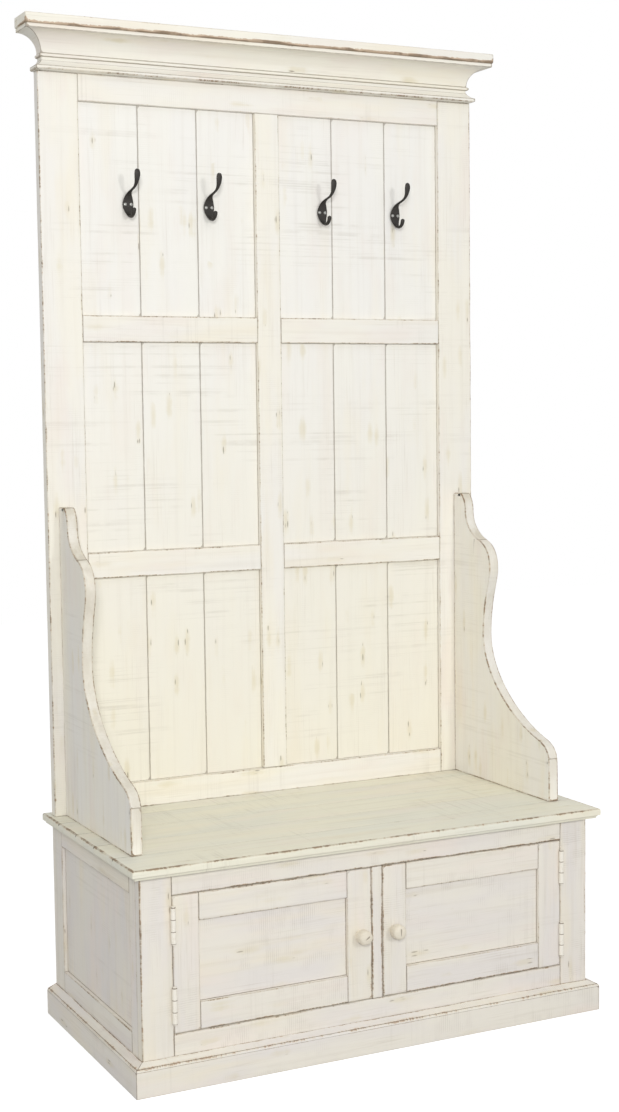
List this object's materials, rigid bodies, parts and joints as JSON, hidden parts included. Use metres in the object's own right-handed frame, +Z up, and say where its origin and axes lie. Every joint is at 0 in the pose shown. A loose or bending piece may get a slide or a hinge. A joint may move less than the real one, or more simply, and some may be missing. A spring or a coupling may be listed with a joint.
{
  "type": "hall tree",
  "caption": "Tall hall tree with a cupboard bench, hinged doors, scroll-cut arms, a boarded back with coat hooks and a moulded cornice, in worn white paint.",
  "frame": {"origin": "on the floor, under the middle of the overall bounding box", "axes": "+X to the right across the bench, +Y back to the wall, +Z up; the doors face -Y"},
  "size_m": [1.0878, 0.543, 2.062],
  "materials": {
    "frame_paint": "matte warm white paint, worn through along the edges",
    "boards": "thin matte cool white paint over sawn boards",
    "seat_paint": "satin off-white paint, slightly darker",
    "bare_wood": "plain pale softwood inside the cabinet",
    "hinge_paint": "painted over with the doors",
    "hook_bronze": "matte oil-rubbed bronze, near black",
    "steel": "dull zinc",
    "catch": "matte"
  },
  "bodies": {
    "cabinet": {"plinth_front": "frame_paint", "plinth_left": "frame_paint", "plinth_right": "frame_paint", "left_side_stiles": "frame_paint", "left_side_rails": "frame_paint", "left_side_panel": "frame_paint", "right_side_stiles": "frame_paint", "right_side_rails": "frame_paint", "right_side_panel": "frame_paint", "face_stiles": "frame_paint", "face_top_rail": "frame_paint", "face_bottom_rail": "frame_paint", "face_mullion": "frame_paint", "cabinet_floor": "bare_wood", "cabinet_back": "bare_wood", "floor_cleats": "bare_wood", "seat_bearers": "bare_wood", "seat_front_board": "seat_paint", "seat_boards": "seat_paint", "back_stile_left": "frame_paint", "back_stile_right": "frame_paint", "back_mullion": "frame_paint", "back_top_rail": "frame_paint", "back_bottom_rail": "frame_paint", "back_mid_rails": "frame_paint", "planks_left_bay": "boards", "planks_right_bay": "boards", "cornice_header": "frame_paint", "cornice_board": "frame_paint", "crown_front": "frame_paint", "crown_returns": "frame_paint", "neck_mould_front": "frame_paint", "neck_mould_returns": "frame_paint", "arm_left": "frame_paint", "arm_right": "frame_paint", "hook_1": "hook_bronze", "hook_2": "hook_bronze", "hook_3": "hook_bronze", "hook_4": "hook_bronze", "hook_screws": "steel", "back_brackets": "steel", "bracket_screws": "steel", "hinge_frame_leaves": "hinge_paint", "hinge_pins": "hinge_paint", "hinge_frame_screws": "steel", "door_catch": "catch"},
    "left_door": {"left_door_stiles": "frame_paint", "left_door_rails": "frame_paint", "left_door_panel": "frame_paint", "left_door_knob": "frame_paint", "left_door_leaves": "hinge_paint", "left_door_screws": "steel", "left_door_strike": "steel"},
    "right_door": {"right_door_stiles": "frame_paint", "right_door_rails": "frame_paint", "right_door_panel": "frame_paint", "right_door_knob": "frame_paint", "right_door_leaves": "hinge_paint", "right_door_screws": "steel", "right_door_strike": "steel"}
  },
  "joints": [
    {"name": "left_door_hinge", "type": "hinge", "parent": "cabinet", "child": "left_door", "pos_m": [-0.43475, -0.2455, 0.237], "axis": [0, 0, -1], "range_deg": [0, 170]},
    {"name": "right_door_hinge", "type": "hinge", "parent": "cabinet", "child": "right_door", "pos_m": [0.43475, -0.2455, 0.237], "axis": [0, 0, 1], "range_deg": [0, 170]}
  ]
}
